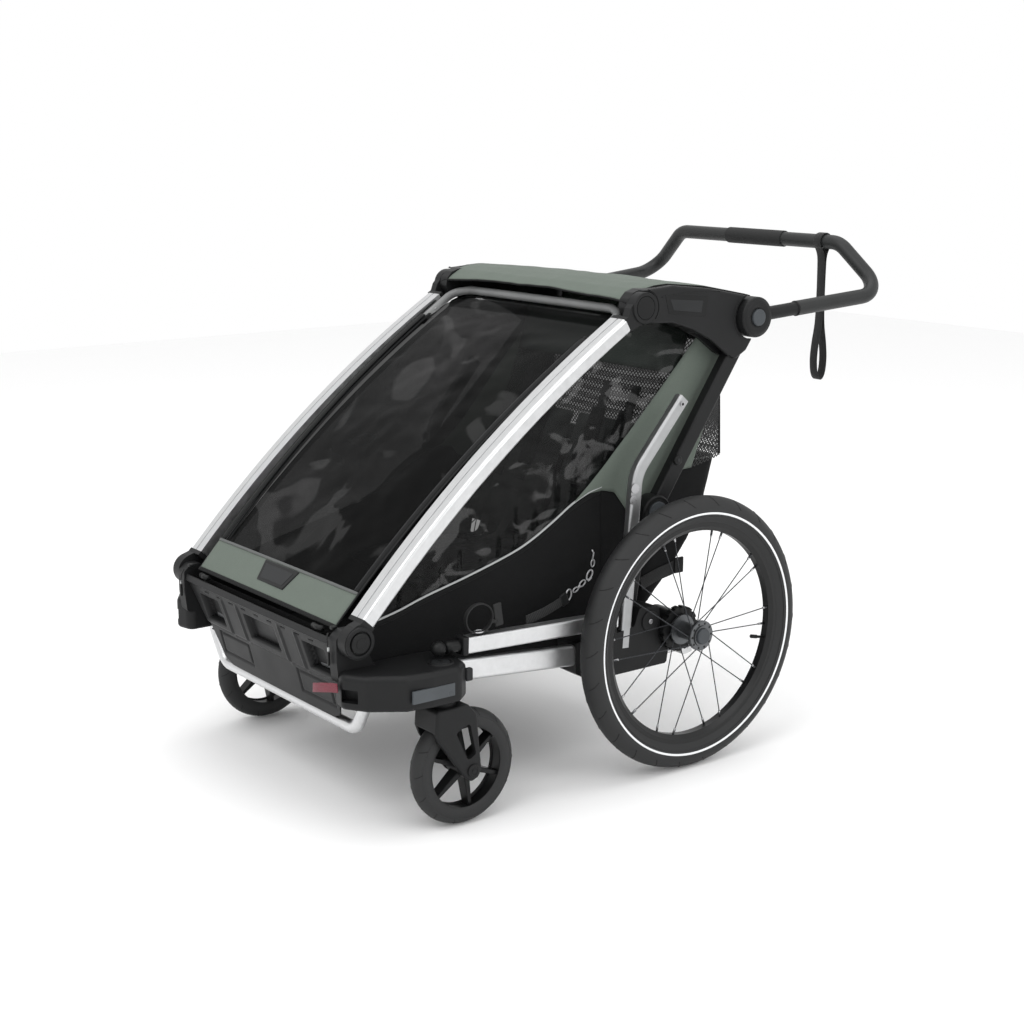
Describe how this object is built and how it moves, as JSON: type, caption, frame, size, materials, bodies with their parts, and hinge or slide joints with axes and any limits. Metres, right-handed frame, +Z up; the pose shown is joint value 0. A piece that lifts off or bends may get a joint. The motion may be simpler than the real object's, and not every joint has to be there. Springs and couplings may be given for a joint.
{
  "type": "child bicycle trailer",
  "caption": "Folding child trailer for a bicycle, set up as a stroller: fabric cabin on a tube frame, spoked rear wheels, swivel casters, stowed towing arm and tilting handlebar.",
  "frame": {"origin": "on the ground at the centre of the overall box, between the two rear wheels and the two casters", "axes": "+X to the trailer's left, +Y to the rear (the handlebar end), +Z up; the front of the trailer faces -Y"},
  "size_m": [0.803, 1.2103, 0.9324],
  "materials": {
    "black_plastic": "satin moulded",
    "grey_plastic": "satin moulded",
    "silver_tube": "satin anodised",
    "dark_tube": "satin painted",
    "steel": "brushed",
    "black_metal": "painted",
    "tyre": "rubber tread",
    "grip_rubber": "matt",
    "black_fabric": "woven",
    "green_fabric": "woven coated",
    "grey_webbing": "webbing",
    "mesh": "open mesh",
    "window_film": "clear film"
  },
  "bodies": {
    "frame": {"corner_housings": "black_plastic", "front_reflectors": "grey_plastic", "bumper_tube": "silver_tube", "footwell_guard": "black_fabric", "side_rails": "silver_tube", "b_pillars": "silver_tube", "rear_brackets": "black_plastic", "frame_pins": "steel", "axle_tube": "silver_tube", "axle_arms": "silver_tube", "axle_drums": "black_plastic", "frame_clips": "black_plastic", "floor": "black_fabric", "side_panels": "black_fabric", "side_windows": "window_film", "seat_base": "black_fabric", "seat_backs": "black_fabric", "harness": "grey_webbing", "cargo_bag": "black_fabric", "rear_mesh": "mesh"},
    "front_frame": {"a_pillars": "silver_tube", "pillar_knuckles": "black_plastic", "pivot_caps": "grey_plastic", "canopy_bow": "dark_tube", "front_window": "window_film", "cover_band": "green_fabric"},
    "upper_frame": {"bridges": "black_plastic", "badge_plates": "grey_plastic", "roof": "green_fabric"},
    "rear_struts": {"c_pillars": "black_plastic"},
    "handlebar": {"handlebar_tube": "dark_tube", "handlebar_grip": "grip_rubber", "handlebar_hubs": "black_plastic"},
    "wrist_loop": {"wrist_strap": "grey_webbing"},
    "tow": {"tow_arm": "silver_tube", "tow_ball": "black_plastic"},
    "pedal": {"brake_pedal": "black_plastic"},
    "wheel_left": {"tyre_left": "tyre", "rim_left": "black_metal", "spokes_left": "black_metal", "hub_left": "black_metal"},
    "wheel_release_left": {"release_cap_left": "grey_plastic"},
    "caster_left": {"caster_fork_left": "black_plastic"},
    "caster_roller_left": {"caster_tyre_left": "tyre", "caster_wheel_left": "black_plastic"},
    "caster_release_left": {"caster_button_left": "grey_plastic"},
    "fold_release_left": {"fold_button_left": "grey_plastic"},
    "handlebar_release_left": {"hub_button_left": "grey_plastic"},
    "wheel_right": {"tyre_right": "tyre", "rim_right": "black_metal", "spokes_right": "black_metal", "hub_right": "black_metal"},
    "wheel_release_right": {"release_cap_right": "grey_plastic"},
    "caster_right": {"caster_fork_right": "black_plastic"},
    "caster_roller_right": {"caster_tyre_right": "tyre", "caster_wheel_right": "black_plastic"},
    "caster_release_right": {"caster_button_right": "grey_plastic"},
    "fold_release_right": {"fold_button_right": "grey_plastic"},
    "handlebar_release_right": {"hub_button_right": "grey_plastic"}
  },
  "joints": [
    {"name": "frame_fold", "type": "hinge", "parent": "frame", "child": "front_frame", "pos_m": [0, -0.576, 0.335], "axis": [1, 0, 0], "range_deg": [-20, 0], "deforming": ["side_windows", "seat_backs", "harness", "rear_mesh"]},
    {"name": "bridge_fold", "type": "hinge", "parent": "front_frame", "child": "upper_frame", "pos_m": [0, 0.017, 0.831], "axis": [1, 0, 0], "range_deg": [0, 30.5]},
    {"name": "rear_strut_fold", "type": "hinge", "parent": "frame", "child": "rear_struts", "pos_m": [0, 0.055, 0.461], "axis": [1, 0, 0], "range_deg": [-39, 0]},
    {"name": "handlebar_tilt", "type": "hinge", "parent": "upper_frame", "child": "handlebar", "pos_m": [0, 0.276, 0.799], "axis": [1, 0, 0], "range_deg": [-60, 60]},
    {"name": "wrist_loop_swing", "type": "hinge", "parent": "handlebar", "child": "wrist_loop", "pos_m": [0.182, 0.582, 0.916], "axis": [1, 0, 0], "range_deg": [-61, 61]},
    {"name": "tow_arm_slide", "type": "slide", "parent": "frame", "child": "tow", "axis": [0, -0.9992, 0.039], "range_m": [0, 0.15]},
    {"name": "parking_brake", "type": "hinge", "parent": "frame", "child": "pedal", "pos_m": [0, 0.113, 0.205], "axis": [1, 0, 0], "range_deg": [-18, 0]},
    {"name": "wheel_spin_left", "type": "hinge", "parent": "frame", "child": "wheel_left", "pos_m": [0.365, 0.083, 0.25], "axis": [1, 0, 0], "continuous": true},
    {"name": "wheel_release_press_left", "type": "slide", "parent": "wheel_left", "child": "wheel_release_left", "axis": [-1, 0, 0], "range_m": [0, 0.004], "stiffness_N_per_m": 900},
    {"name": "caster_swivel_left", "type": "hinge", "parent": "frame", "child": "caster_left", "pos_m": [0.335, -0.442, 0.23], "axis": [0, 0, 1], "continuous": true},
    {"name": "caster_spin_left", "type": "hinge", "parent": "caster_left", "child": "caster_roller_left", "pos_m": [0.335, -0.402, 0.1], "axis": [1, 0, 0], "continuous": true},
    {"name": "caster_release_press_left", "type": "slide", "parent": "frame", "child": "caster_release_left", "axis": [0, 0, -1], "range_m": [0, 0.004], "stiffness_N_per_m": 900},
    {"name": "fold_release_press_left", "type": "slide", "parent": "rear_struts", "child": "fold_release_left", "axis": [-1, 0, 0], "range_m": [0, 0.004], "stiffness_N_per_m": 900},
    {"name": "handlebar_release_press_left", "type": "slide", "parent": "handlebar", "child": "handlebar_release_left", "axis": [-1, 0, 0], "range_m": [0, 0.003], "stiffness_N_per_m": 900},
    {"name": "wheel_spin_right", "type": "hinge", "parent": "frame", "child": "wheel_right", "pos_m": [-0.365, 0.083, 0.25], "axis": [1, 0, 0], "continuous": true},
    {"name": "wheel_release_press_right", "type": "slide", "parent": "wheel_right", "child": "wheel_release_right", "axis": [1, 0, 0], "range_m": [0, 0.004], "stiffness_N_per_m": 900},
    {"name": "caster_swivel_right", "type": "hinge", "parent": "frame", "child": "caster_right", "pos_m": [-0.335, -0.442, 0.23], "axis": [0, 0, 1], "continuous": true},
    {"name": "caster_spin_right", "type": "hinge", "parent": "caster_right", "child": "caster_roller_right", "pos_m": [-0.335, -0.402, 0.1], "axis": [1, 0, 0], "continuous": true},
    {"name": "caster_release_press_right", "type": "slide", "parent": "frame", "child": "caster_release_right", "axis": [0, 0, -1], "range_m": [0, 0.004], "stiffness_N_per_m": 900},
    {"name": "fold_release_press_right", "type": "slide", "parent": "rear_struts", "child": "fold_release_right", "axis": [1, 0, 0], "range_m": [0, 0.004], "stiffness_N_per_m": 900},
    {"name": "handlebar_release_press_right", "type": "slide", "parent": "handlebar", "child": "handlebar_release_right", "axis": [1, 0, 0], "range_m": [0, 0.003], "stiffness_N_per_m": 900}
  ],
  "couplings": [
    {"joint": "bridge_fold", "follows": "frame_fold", "ratio": -1.5},
    {"joint": "rear_strut_fold", "follows": "frame_fold", "ratio": 1.92},
    {"joint": "wrist_loop_swing", "follows": "handlebar_tilt", "ratio": -1}
  ]
}
